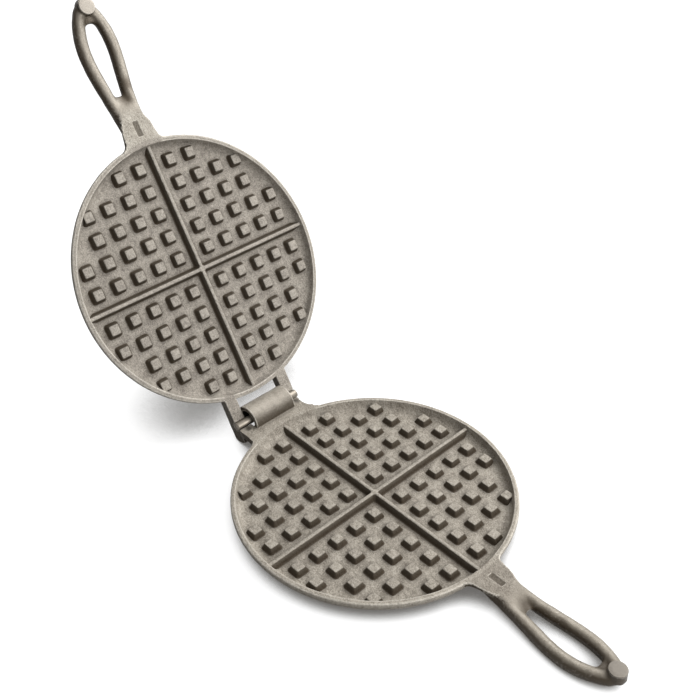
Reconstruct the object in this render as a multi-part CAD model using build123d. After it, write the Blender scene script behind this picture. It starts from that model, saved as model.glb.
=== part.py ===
from build123d import *
from math import cos, hypot, radians, sin, sqrt
import os

# Two-paddle waffle iron for the stove top, standing open.
# Frame: origin at the middle of the base plate's flat underside, +X towards the base handle,
# +Z up.  Each paddle is drawn face up in its own frame, whose z = 0 is the parting plane on
# the rim, with the hinge on the -X side and the handle on the +X side.  Depths are measured
# down from the parting plane, and "out" distances are measured from the rim's outer edge.
# All sizes in mm.

# ---- plate ----
plate_radius = 92.0            # outer edge of the rim
plate_height = 14.0            # rim face to underside
rim_width = 3.2                # flat ground land around the dish
rim_side = 2.5                 # upright edge below the land
underside_round = 16.0         # how far the underside curves in from the rim
dish_depth = 6.5               # rim face to dish floor
dish_wall_run = 2.4            # how far the sloped wall comes in on its way down
dish_cove = 3.0                # round between wall and floor

# ---- waffle pattern ----
peg_pitch = 15.85              # five eighths of an inch
peg_first = 12.2               # rib centre line to the first row of pegs
peg_top = 6.4                  # square top
peg_foot = 9.5                 # square foot
peg_below_rim = 2.4            # rim face to peg top
rib_top = 2.2
rib_foot = 5.2
rib_below_rim = 2.0
cross_top = 4.4                # square block, turned 45 degrees, where the ribs cross
cross_foot = 9.2
draft_root = 1.0               # pegs and ribs are rooted this far below the dish floor

# ---- handle neck, half widths in plan at "out" distances ----
neck_root_half = 14.8
neck_shoulder_out = 2.0
neck_shoulder_half = 12.8
neck_waist_out = 12.0
neck_waist_half = 11.0
neck_bend_out = 19.0
neck_bend_half = 8.8
web_end_out = 37.0             # where the web runs out between the rods
web_end_half = 5.6
neck_edge = 2.4                # upright sides of the neck, before it narrows downwards
neck_taper = 40.0              # degrees from upright, below that edge
neck_root_depth = 5.4          # underside of the neck at the plate, the bend and the end
neck_bend_depth = 10.4
web_end_depth = 11.6
top_fall_out = 15.0            # where the flat top starts to fall towards the fork
web_end_top = 8.2              # top of the web at its end
fork_half = 5.0                # round end of the loop's hole, between the rods
fork_length = 3.4

# ---- handle loop ----
rod_radius = 4.5
table_gap = 0.3                # lowest rod surface above the table
rod_start = (4.0, 4.2, 4.8)    # rod centre line inside the neck: out, half, depth
rod_rise = (65.8, 9.4)         # control point that leads the rod out of the neck: out, half
rod_spread = (54.4, 15.2)      # control point that spreads the rods: out, half
loop_sag = 1.3                 # both control points lie this far below the lowest centre line
loop_end_out = 92.2            # centre line at the tip
loop_end_half = 10.0           # control point that rounds the tip
loop_end_depth = 7.0
boss_out = 93.0
boss_radius = 5.5
boss_draft = 0.4               # the boss widens by this towards its foot
tip_web_out = 82.3             # web that fills the tip, from the end of the hole
tip_web_half = 6.0
tip_web_round = 3.4
tip_web_top = 5.6
tip_web_depth = 9.6
mark_length = 11.0             # shallow blank panel on the neck
mark_width = 4.2
mark_depth = 0.4
mark_out = 9.0
lid_handle_shift = 3.0         # the lid's handle is cast this far to the left of its rib

# ---- hinge ----
pin_radius = 3.0
pin_chamfer = 0.5
pin_float = 4.4                # loose fit of the pin in the hook
pin_seat_gap = 0.04            # between the pin and the saddles cast around it
pin_running_gap = 0.6          # between the pin and the shelf that it turns beside
hook_wall = 3.4
hook_half_width = 17.0
hook_lip_angle = 228.0         # from +X, over the top, to the free lip
rim_window = 4.55              # open slot between the barrel and the lid's rim
open_angle = 123.5
closed_gap = 0.3               # between the two rims when the iron is shut
ear_play = 0.8                 # side play between hook and ears
ear_width = 8.8
ear_root_depth = 6.5           # ear thickness at the plate
ear_nose_depth = 8.2           # ear thickness at the pin
nose_radius = 12.6             # reach of the ear beyond the pin
nose_rise = 2.0                # front of the nose above the parting plane
nose_corner = 2.5
stop_gap = 0.3                 # between nose and shelf when the lid leans back
shelf_overhang = 1.0           # the shelf stands out past the ears' outer faces
shelf_depth = 9.5
shelf_corner = 3.0
throat_angle = -75.0           # where the hook's inner round runs into its front face
heel_reach = 7.4               # hinge axis to the front of the heel that stands on the table

inset = 12.0                   # how far the hinge and neck blanks run in under the rim
overcut = 5.0                  # how far cutting tools run past a face

floor_z = -dish_depth
foot_radius = plate_radius - underside_round
dish_radius = plate_radius - rim_width
root_x = plate_radius - inset
rod_low = plate_height - table_gap - rod_radius
hook_inner_radius = pin_radius + pin_float
hook_outer_radius = hook_inner_radius + hook_wall
hinge_x = -(plate_radius + rim_window + hook_outer_radius)
pin_z = closed_gap / 2         # hinge axis above each paddle's own parting plane
ear_inner = hook_half_width + ear_play
ear_outer = ear_inner + ear_width
shelf_half = ear_outer + shelf_overhang


def out(distance):
    """X position that lies this far out from the rim, on the handle's side."""
    return plate_radius + distance


def profile(*edges):
    """Face drawn in the XZ plane as (x, z)."""
    return Plane.XZ * make_face(Curve() + list(edges))


def across(half_width, *edges):
    """Solid drawn as a side view in X and Z and extruded both ways along Y."""
    return extrude(profile(*edges), half_width, both=True)


def round_bar(centre, radius, half_width):
    """Cylinder along Y about a point in the XZ plane."""
    return across(half_width, CenterArc(centre, radius, 0, 360))


def drafted_block(foot, top, z_high):
    """Square block with drafted sides, rooted a little below the dish floor."""
    spread = (foot - top) / (z_high - floor_z) * draft_root
    low = Plane.XY.offset(floor_z - draft_root) * Rectangle(foot + spread, foot + spread)
    high = Plane.XY.offset(z_high) * Rectangle(top, top)
    return loft([low, high])


def rib():
    """Drafted bar along X across the whole dish."""
    spread = (rib_foot - rib_top) / (dish_depth - rib_below_rim) * draft_root
    half_foot = (rib_foot + spread) / 2
    section = Polyline(
        (-half_foot, floor_z - draft_root),
        (-rib_top / 2, -rib_below_rim),
        (rib_top / 2, -rib_below_rim),
        (half_foot, floor_z - draft_root),
        close=True,
    )
    return extrude(Plane.YZ * make_face(section), dish_radius + rim_width / 2, both=True)


def bowl():
    """Outer form of a plate with no dish in it."""
    return revolve(
        profile(
            Polyline(
                (foot_radius, -plate_height), (0, -plate_height), (0, 0),
                (plate_radius, 0), (plate_radius, -rim_side),
            ),
            TangentArc(
                (foot_radius, -plate_height), (plate_radius, -rim_side), tangent=(1, 0)
            ),
        ),
        Axis.Z,
    )


def dish():
    """Hollow of a plate, open upwards."""
    return revolve(
        profile(
            FilletPolyline(
                (0, floor_z), (dish_radius - dish_wall_run, floor_z), (dish_radius, 0),
                radius=dish_cove,
            ),
            Polyline((dish_radius, 0), (dish_radius, overcut), (0, overcut), (0, floor_z)),
        ),
        Axis.Z,
    )


def plate():
    """Cooking plate with its rim, ribs and pegs in one casting."""
    ribs = rib() + Rot(Z=90) * rib()
    cross = Rot(Z=45) * drafted_block(cross_foot, cross_top, -rib_below_rim)
    peg = drafted_block(peg_foot, peg_top, -peg_below_rim)
    reach = dish_radius - peg_top / 2
    lines = [peg_first + step * peg_pitch for step in range(int(dish_radius / peg_pitch) + 1)]
    pegs = [
        Pos(side_x * x, side_y * y) * peg
        for x in lines
        for y in lines
        if hypot(x, y) <= reach
        for side_x in (1, -1)
        for side_y in (1, -1)
    ]
    return bowl() - dish() + ((ribs + cross + pegs) & bowl())


def neck():
    """Web of the handle, from the plate to the fork of the loop."""
    bend_x = out(neck_bend_out)
    fall_x = out(top_fall_out)
    end_x = out(web_end_out)
    side = across(
        neck_root_half,
        Polyline(
            (bend_x, -neck_bend_depth), (root_x, -neck_root_depth), (root_x, 0), (fall_x, 0)
        ),
        Spline((fall_x, 0), (end_x, -web_end_top), tangents=[(1, 0), (1, -0.45)]),
        Polyline((end_x, -web_end_top), (end_x, -web_end_depth), (bend_x, -neck_bend_depth)),
    )
    edge = [
        (root_x, neck_root_half),
        (out(neck_shoulder_out), neck_shoulder_half),
        (out(neck_waist_out), neck_waist_half),
        (out(neck_bend_out), neck_bend_half),
        (end_x + web_end_depth, web_end_half),
    ]
    plan = make_face(
        Spline(*edge)
        + Line(edge[-1], (edge[-1][0], -web_end_half))
        + Spline(*[(x, -y) for x, y in reversed(edge)])
        + Line((root_x, -neck_root_half), (root_x, neck_root_half))
    )
    keel_depth = web_end_depth - neck_edge
    keel = extrude(Pos(0, 0, -neck_edge) * plan, -keel_depth, taper=neck_taper)
    fork = make_face(
        ThreePointArc((end_x, fork_half), (end_x - fork_length, 0), (end_x, -fork_half))
        + Line((end_x, -fork_half), (end_x, fork_half))
    )
    return (side & (extrude(plan, -neck_edge) + keel)) - extrude(fork, -plate_height)


def loop():
    """Two rods that part at the neck and meet again at the tip."""
    start_out, start_half, start_depth = rod_start
    path = Bezier(
        (out(start_out), start_half, -start_depth),
        (out(rod_rise[0]), rod_rise[1], -rod_low - loop_sag),
        (out(rod_spread[0]), rod_spread[1], -rod_low - loop_sag),
        (out(loop_end_out), loop_end_half, -loop_end_depth),
        (out(loop_end_out), 0, -loop_end_depth),
    )
    rod = sweep(Plane(path @ 0, z_dir=path % 0) * Circle(rod_radius), path)
    return rod + mirror(rod, Plane.XZ)


def tip():
    """Web that fills the loop's tip, and the ground boss on it."""
    hole_x = out(tip_web_out)
    end_x = out(loop_end_out)
    web = make_face(
        ThreePointArc(
            (hole_x - tip_web_round, tip_web_half), (hole_x, 0),
            (hole_x - tip_web_round, -tip_web_half),
        )
        + Polyline(
            (hole_x - tip_web_round, -tip_web_half), (hole_x, -tip_web_half), (end_x, 0),
            (hole_x, tip_web_half), (hole_x - tip_web_round, tip_web_half),
        )
    )
    boss = Cone(
        boss_radius + boss_draft, boss_radius, loop_end_depth,
        align=(Align.CENTER, Align.CENTER, Align.MAX),
    )
    web = Pos(0, 0, -tip_web_top) * extrude(web, tip_web_top - tip_web_depth)
    return web + Pos(out(boss_out), 0) * boss


def handle_blank():
    """Loop handle before it is trimmed to the plate that it is cast on."""
    mark = Pos(out(mark_out), 0) * Box(mark_length, mark_width, 2 * mark_depth)
    return neck() + loop() + tip() - mark


def hook():
    """Hinge side of the base: hollow half barrel, its heel, and the shelf beside it."""
    centre = (hinge_x, pin_z)
    lip = radians(hook_lip_angle)
    barrel = across(
        hook_half_width,
        CenterArc(centre, hook_outer_radius, 0, hook_lip_angle),
        Line(
            (hinge_x + hook_outer_radius * cos(lip), pin_z + hook_outer_radius * sin(lip)),
            (hinge_x + hook_inner_radius * cos(lip), pin_z + hook_inner_radius * sin(lip)),
        ),
        CenterArc(centre, hook_inner_radius, 0, hook_lip_angle),
        Line((hinge_x + hook_inner_radius, pin_z), (hinge_x + hook_outer_radius, pin_z)),
    )

    throat = radians(throat_angle)
    throat_x = hinge_x + hook_inner_radius * cos(throat)
    throat_z = pin_z + hook_inner_radius * sin(throat)
    block = across(
        hook_half_width,
        Polyline(
            (-foot_radius, 0), (hinge_x + hook_outer_radius, 0),
            (hinge_x + hook_outer_radius, pin_z), (throat_x, pin_z), (throat_x, throat_z),
            (hinge_x + heel_reach, -plate_height), (-foot_radius, -plate_height),
            (-foot_radius, 0),
        ),
    )
    hollow = round_bar(centre, hook_inner_radius, hook_half_width)

    lean = radians(open_angle)
    stop = nose_rise - pin_z + stop_gap
    stop_top_x = hinge_x + (stop - pin_z * cos(lean)) / sin(lean)
    stop_low_x = hinge_x + (stop - (pin_z + shelf_depth) * cos(lean)) / sin(lean)
    shelf = across(
        shelf_half,
        FilletPolyline(
            (stop_top_x, 0), (stop_low_x, -shelf_depth), (-root_x, -shelf_depth),
            radius=shelf_corner,
        ),
        Polyline((-root_x, -shelf_depth), (-root_x, 0), (stop_top_x, 0)),
    )
    pin_room = round_bar(centre, pin_radius + pin_running_gap, shelf_half)
    return (shelf - pin_room) - hollow + (block - hollow) + barrel - bowl()


def ear():
    """One ear of the lid: a bar that runs past the pin and ends in a round nose."""
    rise = nose_rise - pin_z
    drop = ear_nose_depth + pin_z
    front = (hinge_x - sqrt(nose_radius**2 - rise**2), nose_rise)
    back = (hinge_x - sqrt(nose_radius**2 - drop**2), -ear_nose_depth)
    step_x = hinge_x - pin_radius - pin_running_gap / 2
    side = make_face(
        Polyline((-root_x, 0), (step_x, 0), (step_x, nose_rise), front)
        + ThreePointArc(front, (hinge_x - nose_radius, pin_z), back)
        + Polyline(back, (hinge_x, -ear_nose_depth), (-root_x, -ear_root_depth), (-root_x, 0))
    )
    side = fillet(side.vertices().sort_by_distance(back)[0], nose_corner)
    bar = extrude(Plane.XZ.offset(-ear_outer) * side, ear_width)
    return bar - round_bar((hinge_x, pin_z), pin_radius + pin_seat_gap, shelf_half) - bowl()


def pin():
    """Steel bar carried by both ears, flush with their outer faces."""
    bar = round_bar((hinge_x, pin_z), pin_radius, ear_outer)
    return chamfer(bar.edges().filter_by(GeomType.CIRCLE), pin_chamfer)


def base_place(shape):
    """Lift a paddle part from its parting plane onto its underside."""
    return Pos(0, 0, plate_height) * shape


def lid_place(shape):
    """Turn a paddle part over onto the base, then swing it back to its stop."""
    closed = Pos(0, 0, plate_height + closed_gap) * Rot(X=180) * shape
    axis = Axis((hinge_x, 0, plate_height + pin_z), (0, 1, 0))
    return closed.rotate(axis, -open_angle)


cooking_plate = plate()
loop_handle = handle_blank()
lid_ear = ear()
nodes = {
    "base_plate": base_place(cooking_plate),
    "base_handle": base_place(loop_handle - bowl()),
    "base_hinge_hook": base_place(hook()),
    "lid_plate": lid_place(cooking_plate),
    "lid_handle": lid_place(Pos(0, lid_handle_shift) * loop_handle - bowl()),
    "lid_ear_left": lid_place(lid_ear),
    "lid_ear_right": lid_place(mirror(lid_ear, Plane.XZ)),
    "hinge_pin": lid_place(pin()),
}

os.makedirs("parts", exist_ok=True)
for name, shape in nodes.items():
    export_step(shape, f"parts/{name}.step")
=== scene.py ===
"""Looks of a hinged stovetop waffle iron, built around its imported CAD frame.

Every piece is drawn in millimetres in the frame of its own paddle, whose z = 0 is the parting
plane on the rim, with the hinge towards -X and the handle towards +X.  A placement matrix then
carries it to where the CAD says, in metres.
"""

import logging
from dataclasses import dataclass, field
from enum import Enum
from functools import partial
from math import atan2, cos, hypot, pi, radians, sin, sqrt, tan
from typing import Callable

import bmesh
import bpy
from bmesh.types import BMesh
from bpy.types import Material, Mesh, Node, NodeSocket, NodeTree, Object
from mathutils import Matrix, Vector, noise

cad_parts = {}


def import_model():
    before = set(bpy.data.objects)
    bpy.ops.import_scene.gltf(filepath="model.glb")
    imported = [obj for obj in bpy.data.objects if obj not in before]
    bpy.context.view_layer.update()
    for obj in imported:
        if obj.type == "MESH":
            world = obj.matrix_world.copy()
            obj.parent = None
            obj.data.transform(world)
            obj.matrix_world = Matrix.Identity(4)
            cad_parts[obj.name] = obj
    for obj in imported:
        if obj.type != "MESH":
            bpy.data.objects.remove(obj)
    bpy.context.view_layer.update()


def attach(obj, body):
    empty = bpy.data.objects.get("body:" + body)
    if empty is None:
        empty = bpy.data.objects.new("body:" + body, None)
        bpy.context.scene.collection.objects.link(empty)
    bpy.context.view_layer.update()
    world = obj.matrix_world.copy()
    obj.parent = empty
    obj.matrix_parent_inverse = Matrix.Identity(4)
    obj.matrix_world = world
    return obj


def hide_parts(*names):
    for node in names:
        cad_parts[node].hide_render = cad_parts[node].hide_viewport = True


log = logging.getLogger("waffle_iron")

MM = 0.001
PLATE_RADIUS = 92.0
PLATE_HEIGHT = 14.0
CLOSED_GAP = 0.3
PIN_Z = CLOSED_GAP / 2
HINGE_X = -107.35
OPEN_ANGLE = 123.5
LOOP_START = 112.0  # where a handle's neck ends and its loop begins
WHITE = (1.0, 1.0, 1.0, 1.0)
NODE_FAMILIES = ("GeometryNode", "ShaderNode", "FunctionNode", "")
NODE_CHOICES = (
    "operation",
    "interpolation_type",
    "noise_dimensions",
    "rotation_type",
    "data_type",
)

Point = tuple[float, float, float]
# A patch of painted shade: its middle and its radius.
ShadePatch = tuple[float, float, float, float]  # its middle on the paddle, and its radius
NodeMaker = Callable[..., Node]


# --- small helpers


def linear(code: str) -> tuple[float, float, float, float]:
    """Turn an sRGB hex colour into a linear one.

    Args:
        code: Colour as "#rrggbb".

    Returns:
        Linear red, green, blue and an alpha of 1.
    """
    parts = [int(code[i : i + 2], 16) / 255 for i in (1, 3, 5)]
    r, g, b = (c / 12.92 if c <= 0.04045 else ((c + 0.055) / 1.055) ** 2.4 for c in parts)
    return r, g, b, 1.0


def first(node: Node, name: str = "") -> NodeSocket:
    """Find an output that is in use, by name, or the first of them."""
    return next(s for s in node.outputs if s.enabled and name in ("", s.name))


def add(tree: NodeTree, kind: str, *feeds, **settings) -> Node:
    """Add one node with its settings and links.

    Args:
        tree: Node tree that the node goes into.
        kind: Blender's name of the node less its family, and its choice, such as "Math ADD".
        *feeds: What goes into its inputs in order, or a dictionary of it by their names.  Each
            is a value, a node, an output socket or a list of nodes to join.
        **settings: Its other properties.

    Returns:
        The new node.
    """
    kind, *choice = kind.split()
    node = tree.nodes.new(next(f + kind for f in NODE_FAMILIES if hasattr(bpy.types, f + kind)))
    for value in choice:
        settings[next(key for key in NODE_CHOICES if hasattr(node, key))] = value
    for name, value in settings.items():
        setattr(node, name, value)
    shown = [socket for socket in node.inputs if socket.enabled]
    filled = []
    for socket, feed in zip(shown, feeds):
        named = feed if isinstance(feed, dict) else {}
        filled += [(next(s for s in shown if s.name == key), named[key]) for key in named]
        filled += [] if isinstance(feed, dict) else [(socket, feed)]
    for socket, feed in filled:
        for value in feed if isinstance(feed, list) else [feed]:
            value = first(value) if isinstance(value, Node) else value
            if isinstance(value, NodeSocket):
                tree.links.new(value, socket)
            else:
                socket.default_value = value
    return node


def clamp(value: float) -> float:
    """Cut a value to 0 to 1."""
    return min(1.0, max(0.0, value))


def smooth_step(value: float) -> float:
    """Ease a value, cut to 0 to 1, in and out."""
    share = clamp(value)
    return share * share * (3 - 2 * share)


def link_object(name: str, data: bpy.types.ID) -> Object:
    """Put a mesh, a lamp or a camera into the scene as an object at the origin."""
    piece = bpy.data.objects.new(name, data)
    bpy.context.scene.collection.objects.link(piece)
    return piece


def drop(piece: Object) -> None:
    """Remove a helper object and its mesh."""
    mesh = piece.data
    bpy.data.objects.remove(piece)
    bpy.data.meshes.remove(mesh)


def evaluated_mesh(piece: Object, name: str) -> Mesh:
    """Turn what an object's modifiers make into a plain mesh.

    Args:
        piece: Object with live modifiers.
        name: Name of the new mesh.

    Returns:
        The new mesh.
    """
    graph = bpy.context.evaluated_depsgraph_get()
    mesh = bpy.data.meshes.new_from_object(
        piece.evaluated_get(graph), preserve_all_data_layers=True, depsgraph=graph
    )
    mesh.name = name
    return mesh


def store(mesh: Mesh, name: str, values: list[float]) -> None:
    """Keep one number per vertex as an attribute."""
    mesh.attributes.new(name, "FLOAT", "POINT").data.foreach_set("value", values)


# --- where each casting is


class Casting(Enum):
    """The two castings, by the name of their CAD body."""

    BASE = "base"
    LID = "lid"

    def placement(self) -> Matrix:
        """Give the turn and move from the paddle's own frame to the open iron.

        Returns:
            A matrix that takes millimetres of the paddle to millimetres of the iron.
        """
        if self is Casting.BASE:
            return Matrix.Translation((0, 0, PLATE_HEIGHT))
        shut = Matrix.Translation((0, 0, PLATE_HEIGHT + CLOSED_GAP)) @ Matrix.Rotation(pi, 4, "X")
        axis = Matrix.Translation((HINGE_X, 0, PLATE_HEIGHT + PIN_Z))
        return axis @ Matrix.Rotation(radians(-OPEN_ANGLE), 4, "Y") @ axis.inverted() @ shut

    def to_metres(self) -> Matrix:
        """Give the matrix from millimetres of the paddle to metres of the iron."""
        return Matrix.Scale(MM, 4) @ self.placement()

    def carry(self, mesh: Mesh, sharp_over: float, slot: str, node: str | None) -> Object:
        """Make a finished mesh into a piece that rides on this casting.

        Args:
            mesh: Finished mesh in metres, with the name of the piece.
            sharp_over: Angle in degrees past which an edge is shaded sharp.
            slot: Material slot of the record; not used.
            node: CAD node that it stands for, if it does.

        Returns:
            The piece.
        """
        mesh.polygons.foreach_set("use_smooth", [True] * len(mesh.polygons))
        mesh.set_sharp_from_angle(angle=radians(sharp_over))
        piece = link_object(mesh.name, mesh)
        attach(piece, self.value)
        if node:
            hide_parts(node)
        return piece


# --- finishes


def blank_material(name: str) -> tuple[Material, NodeMaker]:
    """Make an empty node material.

    Args:
        name: Name of the material.

    Returns:
        The material, and a function that adds a node to it.
    """
    material = bpy.data.materials.new(name)
    material.use_nodes = True
    material.node_tree.nodes.clear()
    return material, partial(add, material.node_tree)


class Smoothed(Enum):
    """The axis along which a casting turns from raw skin to a smooth one."""

    TO_THE_GRIP = "X"
    TO_THE_TOP = "Z"


@dataclass(frozen=True)
class Finish:
    """What every finish of a casting has: a name, and the paddle that its pattern keeps to."""

    name: str
    casting: Casting

    def start(self) -> tuple[Material, NodeMaker, Node]:
        """Make an empty node material.

        Returns:
            The material, a function that adds a node to it, and a node that gives the place on
            the paddle in metres.
        """
        material, node = blank_material(self.name)
        back = self.casting.placement().inverted()
        spot = first(node("TexCoord"), "Object")
        return material, node, node("Mapping", spot, back.translation * MM, back.to_euler())


@dataclass(frozen=True)
class SandCastIron(Finish):
    """Bare grey iron as it leaves a green-sand mould.

    The sand leaves a fine even grain and faint grey-brown clouds, so the skin is dull.  Painted
    shade darkens corners, flanks and given patches, and edges are painted pale, partly as wear
    where they were knocked or ground and partly as painted highlight.
    """

    light: str = "#b2ab9f"
    dark: str = "#6c6459"
    wear_and_highlight: str = "#dcd6ca"
    # Colour of the painted shade on flanks and in corners.
    painted_shade: str = "#362c1e"
    # Moulding sand is 0.2 to 0.4 mm across, too fine to show, so its grain is drawn at 0.75 mm.
    grit_mm: float = 0.75
    chip_mm: float = 1.35
    crumb_mm: float = 2.325
    cloud_mm: float = 9.0
    roughness: float = 0.64
    grain_height_mm: float = 0.2
    # How pale edges get, partly wear and partly painted highlight.
    edge_wear_and_highlight: float = 0.75
    metallic: float = 0.15
    # Reach of the painted corner shade, and the radius past which it fades.
    corner_shade_mm: float = 3.6
    corner_shade_within: float | None = None
    smoothed: tuple[Smoothed, float, float] | None = None
    smooth_light: str = "#968e83"
    smooth_roughness: float = 0.52
    evenness: float = 0.6
    # Patches of painted shade in creases and gaps, and their colour.
    shade_patches: tuple[ShadePatch, ...] = ()
    shade_patch_colour: str = "#5d4d3e"

    def build(self) -> Material:
        """Build the node material.

        Returns:
            The finished material.
        """
        material, node, place = self.start()
        speckles = []
        sizes = (self.grit_mm, self.crumb_mm, self.cloud_mm, self.chip_mm)
        for size, detail in zip(sizes, (3.0, 2.0, 4.0, 3.0)):
            scale = {"Scale": 1 / (size * MM), "Detail": detail, "Roughness": 0.6}
            noisy = node("TexNoise", {"Vector": place, **scale})
            speckles.append(node("MapRange", noisy, 0.32, 0.68))
        grit, crumbs, clouds, chips = speckles
        smooth = 0.0
        if self.smoothed is not None:
            axis, start, end = self.smoothed
            spot = first(node("SeparateXYZ", place), axis.value)
            smooth = node("MapRange SMOOTHSTEP", spot, start * MM, end * MM)
        grain = node("Math MULTIPLY_ADD", smooth, -self.evenness - 0.2, 1.0)

        tone = node("Math MULTIPLY_ADD", clouds, 0.35, -0.24)
        tone = node("Math MULTIPLY_ADD", crumbs, 0.4, tone)
        sand = node("Math MULTIPLY", grit, grain)
        layers = [
            (node("Math MULTIPLY_ADD", sand, 0.8, tone), self.light),
            (node("Math MULTIPLY", smooth, self.evenness), self.smooth_light),
        ]
        # Patches of painted shade where shade falls in creases and gaps.
        for shade_patch in self.shade_patches:
            *middle, radius = (value * MM for value in shade_patch)
            away = node("VectorMath DISTANCE", place, tuple(middle))
            share = node("MapRange SMOOTHSTEP", away, radius, 0.15 * radius, 0.0, 0.85)
            layers.append((share, self.shade_patch_colour))
        # Painted shade: corners are darkened by how closed in they are, less of it outside the
        # dish.
        sky = {"Distance": self.corner_shade_mm * MM}
        corners = first(node("AmbientOcclusion", sky, samples=8, only_local=True), "AO")
        corners = node("MapRange", corners, 0.96, 0.54)
        if self.corner_shade_within is not None:
            wall = self.corner_shade_within * MM
            out = node("VectorMath LENGTH", node("VectorMath MULTIPLY", place, (1, 1, 0)))
            inside = node("MapRange", out, wall, wall + 5 * MM, 1.0, 0.2)
            corners = node("Math MULTIPLY", corners, inside)
        # Pale edges: partly wear where edges were knocked, partly painted highlight.
        chipped = node("MapRange", chips, -0.3, 0.8, 0.0, self.edge_wear_and_highlight)
        # Painted shade stored on the mesh darkens the sides of pegs and ribs and the flanks of
        # outgrowths.
        edge, shade_share = (first(node("Attribute", attribute_name=n), "Fac") for n in ("edge", "soot"))
        worn = node("Math MULTIPLY", edge, chipped)
        layers += [(shade_share, self.painted_shade), (corners, self.painted_shade), (worn, self.wear_and_highlight)]
        colour = linear(self.dark)
        for share, paint in layers:
            colour = node("Mix RGBA", share, colour, linear(paint))

        # Crumbs of sand make the gloss uneven by a tenth, and knocked edges are shinier.
        ends = self.roughness - 0.1, self.smooth_roughness - 0.1
        rough = node("MapRange", smooth, 0.0, 1.0, *ends)
        rough = node("Math MULTIPLY_ADD", crumbs, 0.2, rough)
        rough = node("Math MULTIPLY_ADD", worn, -0.12, rough)
        height = node("Math MULTIPLY_ADD", crumbs, 1.2, grit)
        relief = {"Strength": grain, "Distance": self.grain_height_mm * MM, "Height": height}
        surface = {
            "Base Color": colour,
            "Metallic": self.metallic,
            "Roughness": rough,
            "Specular IOR Level": 0.35,
            "Normal": node("Bump", relief),
        }
        node("OutputMaterial", node("BsdfPrincipled", surface))
        return material


@dataclass(frozen=True)
class GroundIron(Finish):
    """Cast iron where a grinding disc cut the feeder away.

    The cut is flat and paler than the skin, with fine curved scratches from the grit.
    """

    centre: tuple[float, float]
    colour: str
    pale: str
    roughness: float = 0.5
    # A 36-grit disc leaves scratches about 0.2 mm apart, drawn at 0.45 mm so that they show.
    scratch_mm: float = 0.45
    blotch_mm: float = 1.6
    disc_off: tuple[float, float] = (9.0, -14.0)
    lip_mm: tuple[float, float] = (4.3, 5.1)

    def build(self) -> Material:
        """Build the node material.

        Returns:
            The finished material.
        """
        material, node, place = self.start()
        x, y = self.centre
        disc = ((x + self.disc_off[0]) * MM, (y + self.disc_off[1]) * MM, 0)
        arcs = {
            "Vector": node("VectorMath SUBTRACT", place, disc),
            "Scale": 0.31 / (self.scratch_mm * MM),
            "Distortion": 3.0,
            "Detail": 3.0,
        }
        scratch = node("TexWave", arcs, wave_type="RINGS", rings_direction="Z")
        scratch = first(scratch, "Fac")
        blotches = {"Vector": place, "Scale": 1 / (self.blotch_mm * MM), "Detail": 3.0}
        pale = node("Math MULTIPLY", node("TexNoise", blotches), 0.6)
        pale = node("Math MULTIPLY_ADD", scratch, 0.35, pale)
        # The lip of the cut is polished paler still.
        away = node("VectorMath DISTANCE", place, (x * MM, y * MM, 0))
        lip = node("MapRange", away, *(radius * MM for radius in self.lip_mm))
        pale = node("Math MULTIPLY_ADD", lip, 0.35, pale)
        shades = linear(self.colour), linear(self.pale)
        relief = {"Strength": 0.35, "Distance": 0.03 * MM, "Height": scratch}
        surface = {
            "Base Color": node("Mix RGBA", pale, *shades),
            "Metallic": 0.4,
            "Roughness": self.roughness,
            "Normal": node("Bump", relief),
        }
        node("OutputMaterial", node("BsdfPrincipled", surface))
        return material


@dataclass(frozen=True)
class DrawnSteel:
    """Bright drawn steel bar, with faint lines along it and a dull bloom of oil."""

    name: str = "drawn_steel_bar"
    colour: str = "#857e74"
    roughness: tuple[float, float] = (0.34, 0.54)
    # The die leaves lines about 0.05 mm apart, drawn at 0.12 mm so that they show.
    line_mm: float = 0.12
    stretch: float = 0.02

    def build(self) -> Material:
        """Build the node material.

        Returns:
            The finished material.
        """
        material, node = blank_material(self.name)
        spot = first(node("TexCoord"), "Object")
        lines = node("Mapping", {"Vector": spot, "Scale": (1.0, self.stretch, 1.0)})
        scale = {"Vector": lines, "Scale": 1 / (self.line_mm * MM), "Detail": 2.0}
        streak = node("TexNoise", scale)
        surface = {
            "Base Color": linear(self.colour),
            "Metallic": 1.0,
            "Roughness": node("MapRange", streak, 0.0, 1.0, *self.roughness),
            "Normal": node("Bump", {"Strength": 0.3, "Distance": 0.02 * MM, "Height": streak}),
        }
        node("OutputMaterial", node("BsdfPrincipled", surface))
        return material


# --- geometry node trees


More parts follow.
